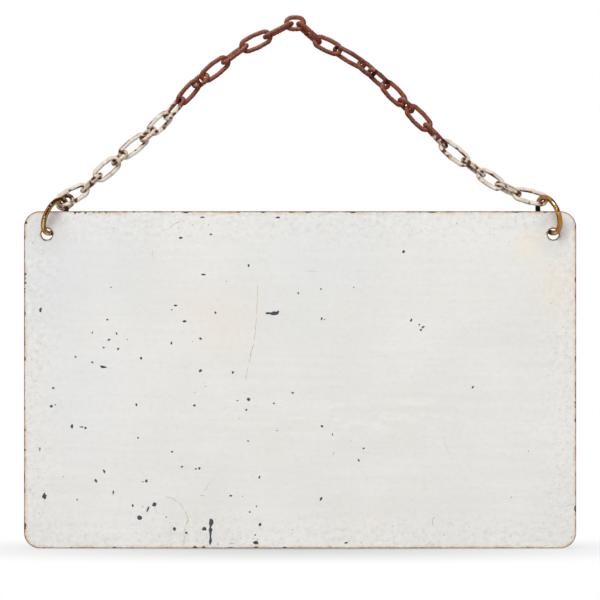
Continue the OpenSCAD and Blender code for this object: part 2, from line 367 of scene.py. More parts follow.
# Chips in the paint: middle x and y in the photograph's pixels, width, height, tilt in degrees
CHIPS = [
    (40.6, 310.2, 2.7, 4.3, 10), (110.9, 287.4, 1.5, 1.5, 0), (107.3, 319.6, 2.5, 2, 0), (92.4, 332.5, 1.4, 2.5, 20),
    (116.5, 333.5, 1.4, 3, -20), (109, 339.7, 3, 1.8, -10), (103.7, 347.7, 2.5, 1.6, 0), (118.4, 348.8, 2, 3, 40),
    (127.4, 339.5, 1, 1, 0), (180.7, 237.8, 3.5, 2, 0), (210.9, 234.3, 2.5, 1.8, 0), (248.7, 265.6, 2, 3, 0),
    (203.3, 274.6, 4.2, 2.2, 0), (226, 281.3, 1, 1, 0), (298.2, 293, 1.8, 2.5, 0), (175.5, 305.3, 3, 2.2, 0),
    (171.7, 309.9, 2, 1, 0), (215.5, 312.6, 2, 2.6, 0), (184.5, 321.3, 3.6, 2.4, 10), (200.6, 338.6, 2.6, 2.6, 0),
    (171.4, 343, 2, 3, 0), (192.5, 341.4, 1, 1, 0), (202.5, 217.2, 4.5, 1.5, 0), (277.8, 217.5, 4.5, 2, 0),
    (403.7, 251.7, 2.4, 3.8, 40), (353.7, 287.4, 1.2, 1.6, 0), (321, 289, 2, 2, 0), (321.6, 318.6, 1.8, 3, 10),
    (324.6, 319.6, 1.6, 1, 0), (411.2, 320.4, 2, 3.5, 25), (420.8, 330, 2, 2.6, 40), (423, 327.2, 3.4, 2, -35),
    (419.3, 324.6, 1.6, 2, 0), (75.7, 357, 2, 2, 0), (92.4, 362.2, 2.2, 2.2, 0), (103.1, 367, 6.5, 2.3, 10),
    (141.1, 358.4, 2.2, 2.6, 0), (53.3, 388.1, 3, 2, 0), (51.3, 406.3, 3.2, 2.8, 0), (55.3, 404.8, 1.6, 1.4, 0),
    (136.3, 404.8, 2.4, 2.8, 0), (71.9, 426.3, 2.9, 4.6, 15), (81.4, 427, 4.5, 1.3, 0), (85.4, 428, 2.4, 2.6, 0),
    (138, 437.8, 2.2, 2.2, 0), (39.9, 449.3, 1.2, 4, 0), (104.2, 471.4, 2.2, 3.8, -25), (95.6, 480.6, 2.8, 3.8, -30),
    (63.3, 476.8, 1.2, 1, 0), (146.5, 480.9, 3.2, 3.2, 0), (142.6, 481.8, 2.6, 0.9, 10), (113.3, 492.4, 1.8, 3.6, 0),
    (44.4, 496.2, 4.2, 6.2, 20), (77.2, 499.8, 1.6, 1.6, 0), (132.7, 505.6, 1.8, 2.8, 0),
    (154.3, 504.9, 4.6, 4.4, 20), (147.8, 509.4, 2.2, 5.6, 20), (139.6, 517.8, 5, 4, 20),
    (142.5, 506.8, 1.1, 1.1, 0), (166.4, 517.1, 1.4, 1.4, 0), (172, 451.7, 2.4, 2, 0), (181.9, 466.8, 2.4, 2.2, 0),
    (199.3, 468.3, 2.6, 2.6, 0), (195.9, 468.9, 2, 1.7, 0), (248.1, 441, 2, 1.6, 0), (259.3, 477.2, 1.8, 3.4, 30),
    (230.9, 495.8, 2.8, 2, 0), (242.6, 496.3, 1, 1, 0), (256.5, 506.3, 1.6, 1.8, 0), (249.9, 512, 2.2, 1.8, 0),
    (260, 524.7, 3.2, 3.2, 0), (255.3, 535, 1.8, 1.6, 0), (253.3, 538.6, 1, 1, 0), (256.3, 542.8, 5.8, 3.8, 15),
    (174.9, 529, 3.2, 4.8, 0), (186.2, 533, 2.6, 2.2, 0), (204.2, 529, 4.6, 3.8, 0), (332.5, 434.3, 1.2, 3, 0),
    (363.6, 448.5, 2.3, 1.8, 0), (358.7, 460.1, 1.9, 3.2, -25), (321.9, 426.3, 2.8, 2.2, 20),
    (321.1, 498.7, 2.2, 3.8, 30), (345.9, 542.9, 4, 2, 0), (528.5, 451, 1.2, 1.2, 0), (472.8, 387.3, 1.7, 3, 35),
    (511.2, 497.2, 1.1, 1.1, 0), (571.3, 537.2, 1.2, 1.2, 0), (200.3, 370.8, 3.2, 3.2, 0),
    (232.9, 372.5, 2.2, 3, 30), (194.4, 405.5, 2.2, 3, -20), (237.3, 400.7, 1.8, 1.4, 0), (248.7, 399.5, 3, 3.4, 0),
    (246.3, 409.8, 2.6, 2, 0), (292.7, 392.8, 3, 1.8, 30), (274, 403.4, 2, 1.6, 0), (277, 430.4, 1.6, 1, 0),
]
# Larger chips drawn by their outline in pixels
CHIP_OUTLINES = [
    [(264.9, 313), (268, 312), (271, 312.5), (273.5, 311.3), (276.5, 311.6), (278.6, 310.2), (279.2, 311.6),
     (278.2, 314.4), (275, 315.3), (271.8, 315.2), (270.2, 314.2), (266.5, 314.4)],
    [(209.4, 519.5), (211, 518.3), (213.2, 520), (213.6, 523), (212, 525.8), (211, 527.2), (212.6, 529.4),
     (211.8, 532), (211.2, 536.5), (212, 540.5), (210.9, 544), (209.8, 545.6), (208.9, 542), (209.7, 537.5),
     (209.4, 533), (208.6, 530), (209.6, 526.6), (209, 523.2)],
]
# Rust-stained cracks: points in pixels, and width in pixels
CRACKS = [
    ([(257.6, 284.2), (257.3, 299), (256.6, 314.8)], 0.45), ([(256.4, 317), (255.4, 330), (254.2, 341.6)], 0.5),
    ([(253.6, 344), (251.8, 350), (249, 363)], 0.7), ([(248.4, 366), (247, 373), (245.6, 381.6)], 0.45),
    ([(165.3, 496.5), (171.5, 498.2), (177.3, 501.3)], 0.6), ([(178.6, 502.6), (181.6, 505.8), (183.5, 509.4)], 0.6),
    ([(184.6, 510.8), (186.8, 515.2), (188.3, 520), (185.4, 525.7)], 0.9),
    ([(185, 527), (184.4, 531), (184.5, 531.4)], 0.8), ([(184.3, 535), (184.2, 540), (184, 545)], 0.8),
    ([(200.4, 494.6), (202.2, 496.2), (204.4, 495.4)], 0.8), ([(204, 491.5), (207.5, 486), (210.3, 480.7)], 0.4),
    ([(170, 227.8), (175, 223.6), (180.5, 221.5)], 0.6), ([(112, 227.6), (115, 228.2)], 0.9),
    ([(434.9, 516.2), (433, 519), (432.4, 523), (434.2, 526.6)], 0.7), ([(332.3, 455.5), (335.2, 450.8)], 0.9),
    ([(349.6, 441.6), (351.6, 440)], 0.7), ([(386, 540.8), (389.6, 540.2)], 0.9), ([(229, 543.2), (234.6, 543.4)], 1.2),
    ([(444, 437), (446, 446), (450, 456)], 0.25), ([(152.6, 249), (153, 259)], 0.3),
    ([(304, 270.8), (311, 271.2), (318, 271.8)], 0.3), ([(203.6, 387.6), (207.4, 386)], 0.8),
    ([(193.2, 393.2), (196.6, 392)], 0.8), ([(224.6, 408.6), (227, 407.2)], 0.7), ([(238.6, 419), (240.4, 418.2)], 0.7),
]


def chip_outline(x, z, wide, high, tilt, seed):
    """A ragged closed outline about a place, as points in X and Z."""
    count = 9 if max(wide, high) < 2 * MM else 15
    turn = math.radians(tilt)
    points = []
    for i in range(count):
        a = 2 * math.pi * i / count
        ragged = 1 + 0.55 * noise.noise(Vector((math.cos(a) * 1.3 + seed * 3.7, math.sin(a) * 1.3, seed * 1.9)))
        dx, dz = math.cos(a) * wide / 2 * ragged, math.sin(a) * high / 2 * ragged
        points.append((x + dx * math.cos(turn) + dz * math.sin(turn), z - dx * math.sin(turn) + dz * math.cos(turn)))
    return points


def strip_outline(places, width, seed):
    """A thin closed strip along places, with its width uneven and its ends pointed."""
    path = []
    for (x0, z0), (x1, z1) in zip(places[:-1], places[1:]):
        steps = max(2, int(math.hypot(x1 - x0, z1 - z0) / (1.2 * MM)))
        path += [(x0 + (x1 - x0) * k / steps, z0 + (z1 - z0) * k / steps) for k in range(steps)]
    path.append(places[-1])
    left, right = [], []
    for i, (x, z) in enumerate(path):
        a, b = path[max(i - 1, 0)], path[min(i + 1, len(path) - 1)]
        length = math.hypot(b[0] - a[0], b[1] - a[1])
        nx, nz = -(b[1] - a[1]) / length, (b[0] - a[0]) / length
        wander = noise.noise(Vector((i * 0.7, seed * 2.3, 0))) * width * 0.5
        half = width / 2 * (0.15 if i in (0, len(path) - 1) else 0.75 + 0.6 * noise.noise(Vector((i * 0.9, 5, seed))))
        left.append((x + nx * (wander + half), z + nz * (wander + half)))
        right.append((x + nx * (wander - half), z + nz * (wander - half)))
    return left + right[::-1]


def plate_outline(inset, step=0.9 * MM):
    """The plate's rounded outline, moved in by inset(x, z), as points in X and Z."""
    points = []
    corners = [(1, 1, 0), (-1, 1, 90), (-1, -1, 180), (1, -1, 270)]
    path = []
    for sx, sz, start in corners:
        cx = PLATE_MID.x + sx * (PLATE_W / 2 - CORNER_R)
        cz = PLATE_MID.z + sz * (PLATE_H / 2 - CORNER_R)
        arc = max(6, int(CORNER_R * math.pi / 2 / step))
        for k in range(arc + 1):
            a = math.radians(start + 90 * k / arc)
            path.append((cx + CORNER_R * math.cos(a), cz + CORNER_R * math.sin(a), math.cos(a), math.sin(a)))
    for i, (x, z, nx, nz) in enumerate(path):
        x1, z1 = path[(i + 1) % len(path)][:2]
        steps = max(1, int(math.hypot(x1 - x, z1 - z) / step))
        for k in range(steps):
            t = k / steps
            px, pz = x + (x1 - x) * t, z + (z1 - z) * t
            deep = inset(px, pz)
            points.append((px - nx * deep, pz - nz * deep))
    return points


# Where the paint is gone along the plate's edge: pixel place, reach along the edge and into the plate in pixels
EDGE_BITES = [
    (24, 274, 3.4, 2.6), (24, 278.5, 2.6, 2.4), (24, 283, 3, 2.6), (24, 289, 3, 2.2), (24, 292, 2, 2),
    (24, 408, 5, 1.5), (24, 430, 3, 2.2), (24, 450, 3, 2.2), (24.5, 525.5, 4, 3), (25.7, 536, 3.5, 2.8),
    (24, 478, 14, 1.2), (44, 548.5, 3, 1.3), (71, 548.5, 3, 1.3), (93, 548.5, 3, 1.3), (121, 548.5, 3, 1.3),
    (132, 548.5, 3, 1.3), (195, 548.5, 6, 2.6), (203.5, 548.5, 4.5, 2.6), (231, 548.5, 4, 1.8), (256, 548.5, 5, 1.8),
    (284.5, 548.5, 5, 2.2), (292, 548.5, 6, 1.2), (336, 548.5, 3, 1.3), (370, 548.5, 3, 1.3), (398, 548.5, 3, 1.3),
    (79, 211.2, 9, 2), (75, 211.2, 3, 3.6), (85.5, 211.2, 3.6, 2.8), (93.5, 211.2, 3, 2), (99, 211.2, 3.6, 2),
    (106, 211.2, 3, 2.2), (112, 211.2, 3, 1.2), (134, 211.2, 3, 2), (155, 211.2, 5, 1.4), (173, 211.2, 3, 1.5),
    (240, 211.2, 3, 1.5), (420, 211.2, 3, 1.4), (348, 211.2, 16, 1), (24.8, 222.3, 3.6, 3), (29.5, 216.4, 2, 1.8),
    (576.2, 361.5, 2, 1.4), (576.2, 374.5, 2, 1.4), (576.2, 385, 1.5, 1.2), (576.2, 402.5, 2.6, 2.4),
    (576.2, 407, 1.8, 2), (576.2, 430, 18, 0.5),
]


def paint_inset(x, z):
    """How far the paint stands back from the plate's edge at a place."""
    ragged = noise.fractal(Vector((x * 420, 0.3, z * 420)), 0.9, 2.1, 3)
    slow = noise.noise(Vector((x * 60, 4.2, z * 60)))
    bite = smooth(noise.noise(Vector((x * 190, 8.1, z * 190))), 0.2, 0.6)
    deep = min((0.22 + 0.3 * ragged + 0.25 * slow + 0.85 * bite) * MM, PAINT_BACK_MOST)
    for px, py, along, into in EDGE_BITES:
        bx, bz = at(px, py)
        share = math.hypot(x - bx, z - bz) / (along / 2 * PX)
        if share < 1.6:
            deep = max(deep, into * PX * math.exp(-1.6 * share * share) * (1 + 0.3 * ragged))
    return max(deep, PAINT_BACK_LEAST)


def hole_outline(middle, radius, ragged, seed):
    """A closed outline round a hole, with its radius larger by up to about ragged."""
    points = []
    for i in range(40):
        a = 2 * math.pi * i / 40
        r = radius + ragged * (0.5 + noise.noise(Vector((math.cos(a) * 2, math.sin(a) * 2, seed))))
        points.append((middle.x + r * math.cos(a), middle.z + r * math.sin(a)))
    return points


def flat_piece(name, outlines, front_y, back_y, material):
    """A flat sheet between two depths, filled between closed outlines in X and Z."""
    curve = bpy.data.curves.new(name, "CURVE")
    curve.dimensions = "2D"
    curve.fill_mode = "BOTH"
    curve.extrude = (back_y - front_y) / 2
    for outline in outlines:
        spline = curve.splines.new("POLY")
        spline.points.add(len(outline) - 1)
        for point, (x, z) in zip(spline.points, outline):
            point.co = (x, z, 0, 1)
        spline.use_cyclic_u = True
    helper = bpy.data.objects.new(name + "_outline", curve)
    bpy.context.scene.collection.objects.link(helper)
    mesh = bpy.data.meshes.new_from_object(helper.evaluated_get(bpy.context.evaluated_depsgraph_get()))
    bpy.data.objects.remove(helper)
    middle_y = (front_y + back_y) / 2
    for v in mesh.vertices:
        x, z, up = v.co
        v.co = (x, middle_y - up, z)
    piece = bpy.data.objects.new(name, mesh)
    bpy.context.scene.collection.objects.link(piece)
    mesh.materials.clear()
    mesh.materials.append(material)
    return piece


def make_plate():
    """Paint film over primed tin, and the rust in the film's cracks. No outline of the film may cross another."""
    front, back = PLATE_LOW.y, PLATE_HIGH.y
    paint, primer, ochre = paint_material(), primer_material(), rust_stain_material()
    chips = [chip_outline(*at(x, y), w * PX, h * PX, tilt, i) for i, (x, y, w, h, tilt) in enumerate(CHIPS)]
    chips += [[at(x, y) for x, y in outline] for outline in CHIP_OUTLINES]
    cracks = [strip_outline([at(x, y) for x, y in places], width * PX, i) for i, (places, width) in enumerate(CRACKS)]
    under = [strip_outline([at(x, y) for x, y in places], width * PX * 2.2, i)
             for i, (places, width) in enumerate(CRACKS)]
    ragged_holes = [hole_outline(h, HOLE_R + HOLE_CHIPPED, HOLE_RAGGED, i) for i, h in enumerate(HOLES)]
    sheet_holes = [hole_outline(h, HOLE_R, 0.0, i) for i, h in enumerate(HOLES)]
    film = flat_piece("paint_film", [plate_outline(paint_inset, 0.45 * MM)] + ragged_holes + chips + cracks,
                      front, front + PAINT_T, paint)
    sheet = flat_piece("tin_sheet", [plate_outline(lambda x, z: 0.02 * MM)] + sheet_holes,
                       front + PAINT_T, back, primer)
    stains = flat_piece("crack_rust", under, front + PAINT_T * 0.7, front + PAINT_T, ochre)
    for piece in (film, sheet, stains):
        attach(piece, "sign_plate")
        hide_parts("sign_plate")


# Wire pieces: a tube swept round a closed flat path, with pits and wear cut into its surface.
# Four shares are kept at each point of it, and a material reads them in this order. The first holds painted shade along
# with stains and patina, the last painted highlight along with dust
MASKS = ("stain_and_shade", "rust", "lining", "dust_and_highlight")
# The upper front left, towards the key lamp: the wire is painted lighter on the side that faces it, as painted
# highlight with some dust, and darker on the far side, as painted shade
LAMP_SIDE = np.array([-0.35, -0.55, 0.76])
# Depths on a link's wire: lumps of paint, general loss and pits of rust, flaked paint, wear at a contact,
# the height of the weld, and the seam's depth with what rust adds to it
PAINT_LUMP, RUST_LOSS, RUST_PIT, FLAKE = 0.03 * MM, 0.05 * MM, 0.07 * MM, 0.05 * MM
CONTACT_WEAR, WELD_HIGH, SEAM_CUT, SEAM_RUST = 0.02 * MM, 0.13 * MM, 0.12 * MM, 0.16 * MM
# Half widths of a link's seam and of its weld
LINK_SEAM_HALF, WELD_HALF = 0.26 * MM, 1.1 * MM


def mesh_frame(node):
    """Middle, two axes in the plane with the longer first, and the plane's normal of a flat wire node."""
    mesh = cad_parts[node].data
    mesh.calc_loop_triangles()
    points = np.array([v.co for v in mesh.vertices])
    corners = points[np.array([t.vertices for t in mesh.loop_triangles])]
    area = np.linalg.norm(np.cross(corners[:, 1] - corners[:, 0], corners[:, 2] - corners[:, 0]), axis=1)
    middles = corners.mean(axis=1)
    centre = (middles * area[:, None]).sum(axis=0) / area.sum()
    spread = (middles - centre) * np.sqrt(area)[:, None]
    axes = np.linalg.svd(spread, full_matrices=False)[2]
    reach = [np.abs((points - centre) @ a).max() for a in axes[:2]]
    long, wide = (axes[0], axes[1]) if reach[0] >= reach[1] else (axes[1], axes[0])
    return centre, long, wide, np.cross(long, wide), points


def link_path(half_inside):
    """Points of a link's centre line from one bend round to itself, the outward direction at each,
    and the nearness of each to a bend's seam and to a bow's middle."""
    hub = half_inside + LINK_WIRE_R - LINK_BOW_R
    top = LINK_BOW_R / math.cos(LINK_FLARE) + hub * math.tan(LINK_FLARE)
    bow = np.linspace(math.pi / 2 - LINK_FLARE, -(math.pi / 2 - LINK_FLARE), BOW_STEPS)
    arc = np.c_[hub + LINK_BOW_R * np.cos(bow), LINK_BOW_R * np.sin(bow)]
    arc_out = np.c_[np.cos(bow), np.sin(bow)]
    start, end = np.array([0, top]), arc[0]
    length = np.linalg.norm(end - start)
    even = np.linspace(LINK_EVEN_FROM / length, 1, SIDE_STEPS)[:-1]
    shares = np.concatenate([LINK_SEAM_STEPS / length, even])
    side = start + shares[:, None] * (end - start)
    side_out = np.tile([math.sin(LINK_FLARE), math.cos(LINK_FLARE)], (len(shares), 1))
    side_out[0] = (0, 1)
    half = np.vstack([side, arc, (side * [1, -1])[::-1]])
    out = np.vstack([side_out, arc_out, (side_out * [1, -1])[::-1]])
    from_seam = np.concatenate([shares * length, np.full(len(arc), FAR), (shares * length)[::-1]])
    bow_share = np.concatenate([np.zeros(len(shares)), np.cos(bow) ** 3, np.zeros(len(shares))])
    # The second half is the first, turned half round, without the points that both have
    path = np.vstack([half[:-1], -half[:-1]])
    outward = np.vstack([out[:-1], -out[:-1]])
    return path, outward, np.tile(from_seam[:-1], 2), np.tile(bow_share[:-1], 2)


def tube(name, path, outward, axes, radius, material, sides, cut):
    """A closed tube. cut(i, angle, ray, place) gives the depth cut into the wire, and the values of MASKS there."""
    centre, long, wide, normal = axes
    count = len(path)
    verts, masks = [], []
    for i in range(count):
        middle = centre + path[i][0] * long + path[i][1] * wide
        out = outward[i][0] * long + outward[i][1] * wide
        for k in range(sides):
            angle = 2 * math.pi * k / sides
            ray = math.cos(angle) * out + math.sin(angle) * normal
            depth, mask = cut(i, angle, ray, middle + radius * ray)
            verts.append(middle + (radius - depth) * ray)
            masks.append(mask)
    faces = []
    for i in range(count):
        j = (i + 1) % count
        for k in range(sides):
            m = (k + 1) % sides
            faces.append((i * sides + k, i * sides + m, j * sides + m, j * sides + k))
    mesh = bpy.data.meshes.new(name)
    mesh.from_pydata([tuple(v) for v in verts], [], faces)
    mesh.polygons.foreach_set("use_smooth", [True] * len(faces))
    for n, key in enumerate(MASKS):
        layer = mesh.attributes.new(key, "FLOAT", "POINT")
        layer.data.foreach_set("value", [m[n] for m in masks])
    mesh.materials.append(material)
    mesh.update()
    if mesh_volume(mesh) < 0:
        mesh.flip_normals()
    piece = bpy.data.objects.new(name, mesh)
    bpy.context.scene.collection.objects.link(piece)
    return piece


def mesh_volume(mesh):
    """Volume inside a closed mesh, below 0 where its faces look inward."""
    mesh.calc_loop_triangles()
    points = np.array([v.co for v in mesh.vertices])
    a, b, c = points[np.array([t.vertices for t in mesh.loop_triangles])].transpose(1, 0, 2)
    return float((a * np.cross(b, c)).sum() / 6)


def wire_masks(nodes):
    """The four shares of MASKS, as a material reads them."""
    return [nodes.add("ShaderNodeAttribute", attribute_name=key).outputs["Fac"] for key in MASKS]


def wire_material(name):
    """Chain wire: thick cream paint, brown where it is gone or stained, and pitted rust, mixed by the piece's own
    masks, which also carry painted shade on the wire's far side and edges and, on rust, painted highlight on the lamp
    side.
    """
    material, nodes, shader, coord = new_material(name)
    stain_and_shade, rusty, lining, dust_and_highlight = wire_masks(nodes)
    fine = nodes.noise(coord, 2600, 4, 0.65)
    grain = nodes.noise(coord, 900, 4, 0.6)
    broad = nodes.noise(coord, 260, 3)
    around = nodes.math("MULTIPLY_ADD", fine, 0.5, -0.25)
    cream = nodes.mix_colour(nodes.ramp(broad, 0.35, 0.65), srgb(234, 227, 217), srgb(214, 203, 190))
    cream = nodes.over(cream, nodes.math("MULTIPLY", lining, nodes.ramp(grain, 0.3, 0.6)), (204, 170, 132))
    cream = nodes.over(cream, nodes.ramp(grain, 0.58, 0.72), (160, 128, 98), 0.5)
    brown = nodes.mix_colour(nodes.ramp(grain, 0.35, 0.65), srgb(50, 28, 18), srgb(112, 70, 44))
    # Tan, then brown, where the paint is gone or stained, and as painted shade on the far side and edges of the wire
    ragged = nodes.math("ADD", stain_and_shade, nodes.math("MULTIPLY_ADD", grain, 0.5, -0.25))
    painted = nodes.over(cream, nodes.ramp(ragged, 0.15, 0.5), (186, 152, 120))
    painted = nodes.mix_colour(nodes.ramp(nodes.math("ADD", ragged, around), 0.42, 0.85), painted, brown)
    red = nodes.mix_colour(nodes.ramp(grain, 0.35, 0.65), srgb(82, 38, 28), srgb(134, 68, 48))
    red = nodes.over(red, nodes.math("MULTIPLY", lining, nodes.ramp(broad, 0.25, 0.55)), (190, 92, 46))
    # Pink-grey painted highlight, with some dust, on the side that faces the lamp
    red = nodes.over(red, nodes.math("MULTIPLY", dust_and_highlight, nodes.ramp(fine, 0.4, 0.62)), (208, 164, 150), 0.9)
    # Near black in pits, seams and stains, and as painted shade on the far side and edges of the wire
    red = nodes.over(red, nodes.ramp(nodes.math("ADD", stain_and_shade, around), 0.32, 0.62), (38, 13, 9))
    edge = nodes.ramp(nodes.math("ADD", rusty, nodes.math("MULTIPLY_ADD", grain, 0.6, -0.3)), 0.4, 0.6)
    colour = nodes.mix_colour(edge, painted, red)
    height = nodes.math("ADD", nodes.math("MULTIPLY", grain, 0.6), nodes.math("MULTIPLY", fine, 0.4))
    connect(nodes, shader, Base_Color=colour, Normal=nodes.bump(height, 0.6, 0.0002),
            Roughness=nodes.math("MULTIPLY_ADD", edge, 0.1, 0.5), Specular_IOR_Level=0.12)
    return material


def link_masks(node):
    """(rust share towards the top end, the same at the far end, dirt) of a link."""
    if node == "top_link":
        return 1.0, 1.0, 0.2
    if node == "left_spare_link":
        return 0.2, 0.0, 0.9
    side, _, number = node.split("_")
    i = int(number)
    if side == "left":
        if i <= 6:
            return 1.0, 1.0, 0.2
        return {7: (0.7, 0.0, 0.4)}.get(i, (0.0, 0.0, 0.3))
    if i <= 8:
        return 1.0, 1.0, 0.2
    return {9: (1.0, 0.9, 0.6), 10: (0.3, 0.1, 0.9)}.get(i, (0.0, 0.0, 0.3))


# Stains on the chain, seen from the front: place in the photograph's pixels, reach in pixels, strength
CHAIN_STAINS = [
    (447, 144.5, 4, 0.9), (444, 151, 4.5, 0.7), (449, 156, 3.5, 0.6), (464, 158.5, 3, 0.9), (468.5, 163, 3.5, 0.9),
    (463, 166, 3, 0.7), (476.5, 168.5, 2.5, 0.9), (482, 172, 2.5, 0.9), (491.5, 174.5, 2, 0.8), (484, 182, 2.5, 0.5),
    (479.5, 178, 2, 0.8), (497.5, 182, 2.6, 0.9), (505.5, 187.5, 3, 0.8), (518.5, 193, 3, 1.0),
    (529.5, 202.5, 2, 0.6), (511.5, 197, 2, 0.6), (444, 141, 3.5, 0.7), (531, 193.5, 1.6, 0.7), (497, 190, 2, 0.5),
    (541, 203, 4, 1.0), (546, 207.5, 3, 1.0), (145, 134, 3, 0.9), (141, 138, 3.6, 1.0), (153.5, 128.5, 2, 0.9),
    (157, 132, 2.4, 0.9), (164, 128, 3, 0.8), (166.5, 124, 2.6, 0.8), (164.5, 117, 2.8, 1.0),
    (169.5, 112.5, 2.4, 0.8), (149, 128.5, 2, 0.7), (180, 109.5, 3, 0.8), (175, 114.5, 3, 0.8), (171, 118, 2.4, 0.8),
    (173, 105, 1.8, 0.8), (135.2, 150, 1.6, 0.9), (120.8, 152.2, 3.4, 1.0), (124.5, 153.5, 2.4, 0.9),
    (115.8, 162.8, 4, 1.0), (111, 168, 2, 0.5), (100.2, 173.9, 2, 0.9), (93.5, 178.3, 3.2, 0.9),
    (91.3, 184.4, 2.6, 1.0), (83, 186.7, 2.2, 0.9), (69.7, 190.5, 2.4, 0.8), (71.3, 196, 4, 1.0),
    (75.5, 199.4, 3, 1.0), (67, 198, 4.5, 1.0), (66.5, 208.5, 4, 1.0), (57, 203, 3.6, 0.5), (60, 206, 3.6, 0.5),
    (62.5, 202, 3, 0.5), (61.5, 205.6, 1.8, 0.8), (57, 209, 2, 0.5), (72, 202, 3, 0.8), (337, 48, 3.5, 0.9),
    (374, 73.5, 4, 1.0), (387, 82, 4, 0.9), (361.5, 64.5, 1.4, 1.0), (402, 101.5, 1.6, 1.0), (180, 101, 3.5, 0.8),
    (192, 85, 2.6, 0.7), (200, 85, 3, 0.8), (190, 102, 3, 0.6), (370, 78, 3, 0.8),
]
# Where a rusty link still has its paint, in the same way
PAINT_LEFT = [(434.5, 137, 3, 1), (438.5, 141.5, 3, 1), (443, 146, 3.5, 1), (446.5, 149, 3, 1)]


def marked(x, z, marks):
    """The strongest of the marks that reach a place, 0 to 1."""
    best = 0.0
    for mark_x, mark_z, reach, strength in marks:
        away = math.hypot(x - mark_x, z - mark_z)
        away *= 1 + 0.6 * noise.noise(Vector((x * 700, z * 700, 2.5)))
        if away < reach:
            best = max(best, strength * smooth(1 - away / reach, 0.0, 0.8))
    return best


def nearby(marks, centre, span):
    """The marks in metres that can reach a piece of a given span."""
    placed = [(*at(x, y), reach * PX, strength) for x, y, reach, strength in marks]
    return [m for m in placed if math.hypot(m[0] - centre[0], m[1] - centre[2]) < span + m[2]]


def make_link(node, number, materials):
    """A link, rusty or painted, with its stains, seams and one weld, and painted shade and painted highlight in its
    masks.
    """
    centre, long, wide, normal, points = mesh_frame(node)
    half_inside = np.abs((points - centre) @ long).max() - 2 * LINK_WIRE_R
    if long[2] < 0:
        long, wide = -long, -wide
    near_rust, far_rust, dirt = link_masks(node)
    path, outward, from_seam, bow = link_path(half_inside)
    reach = half_inside + 2 * LINK_WIRE_R
    seed = Vector((number * 3.1, number * 1.7, 0))
    weld_side = 1 if number % 3 else -1
    stains, paint_left = (nearby(marks, centre, reach) for marks in (CHAIN_STAINS, PAINT_LEFT))

    def cut(i, angle, ray, place):
        p = Vector(place) + seed * 0.01
        upper = 0.5 + path[i][0] / reach / 2
        rust = far_rust + (near_rust - far_rust) * smooth(upper, 0.35, 0.8)
        rust *= 1 - marked(place[0], place[2], paint_left)
        stain = marked(place[0], place[2], stains)
        inner = -math.cos(angle)
        lump = noise.noise(p * 420)
        patch = 0.5 + 0.7 * noise.noise(p * 170 + Vector((7, 1, 3)))
        pit = noise.fractal(p * 1100, 0.8, 2.0, 3)
        contact = smooth(bow[i], 0.02, 0.5) * smooth(inner, -0.1, 0.6)
        # Darker along the inner side and the outer edge of the wire: partly dirt, partly painted shade where the round
        # wire turns from the light
        rim = (1.0 * smooth(inner, 0.35, 0.9) + 0.7 * smooth(-inner, 0.7, 1.0)) * patch
        seam = smooth(LINK_SEAM_HALF - from_seam[i], 0, 0.08 * MM)
        weld = smooth(WELD_HALF - from_seam[i], 0, 0.5 * MM) * (path[i][1] * weld_side > 0)
        # Painted shade on the side of the wire that faces away from the lamp
        under = smooth(-float(ray @ LAMP_SIDE), 0.2, 1.0)
        # Painted highlight, with some dust, on the side that faces the lamp
        lit = smooth(float(ray @ LAMP_SIDE), 0.45, 1.0)
        if rust > 0.5:
            # On rust: darker pits, seam and stains, and painted shade on the far side and the edges
            stain_and_shade = 0.5 * smooth(pit, 0.15, 0.7) + 0.5 * seam * patch + 0.55 * under + 0.4 * rim + 0.8 * stain
            lining = smooth(inner, -0.3, 0.6) * smooth(bow[i], -0.25, 0.35)
        else:
            # On paint: brown where the paint is gone at contacts, seams and stains, with dirt, and painted shade on the
            # far side and the edges
            stain_and_shade = 0.9 * contact + rim + 0.4 * seam * patch + dirt * 0.6 * smooth(lump, 0.0, 0.5) + 0.4 * under
            stain_and_shade += 0.9 * stain
            lining = 0.5 * smooth(bow[i], 0.0, 0.6) + 0.5 * patch * smooth(inner, -0.2, 0.8) + 0.3 * weld
        depth = PAINT_LUMP * (1 + lump) * (1 - rust) + rust * (RUST_LOSS + RUST_PIT * pit)
        depth += FLAKE * smooth(stain_and_shade, 0.45, 0.55) * (1 - rust)
        depth += seam * (SEAM_CUT + SEAM_RUST * rust) + contact * CONTACT_WEAR - weld * WELD_HIGH
        return depth, (min(stain_and_shade, 1.0), rust, min(lining, 1.0), lit * (0.4 + 0.6 * patch))

    rusty = near_rust + far_rust > 1
    piece = tube(node + "_wire", path, outward, (centre, long, wide, normal), LINK_WIRE_R,
                 materials[rusty], LINK_SIDES, cut)
    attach(piece, node)
    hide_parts(node)


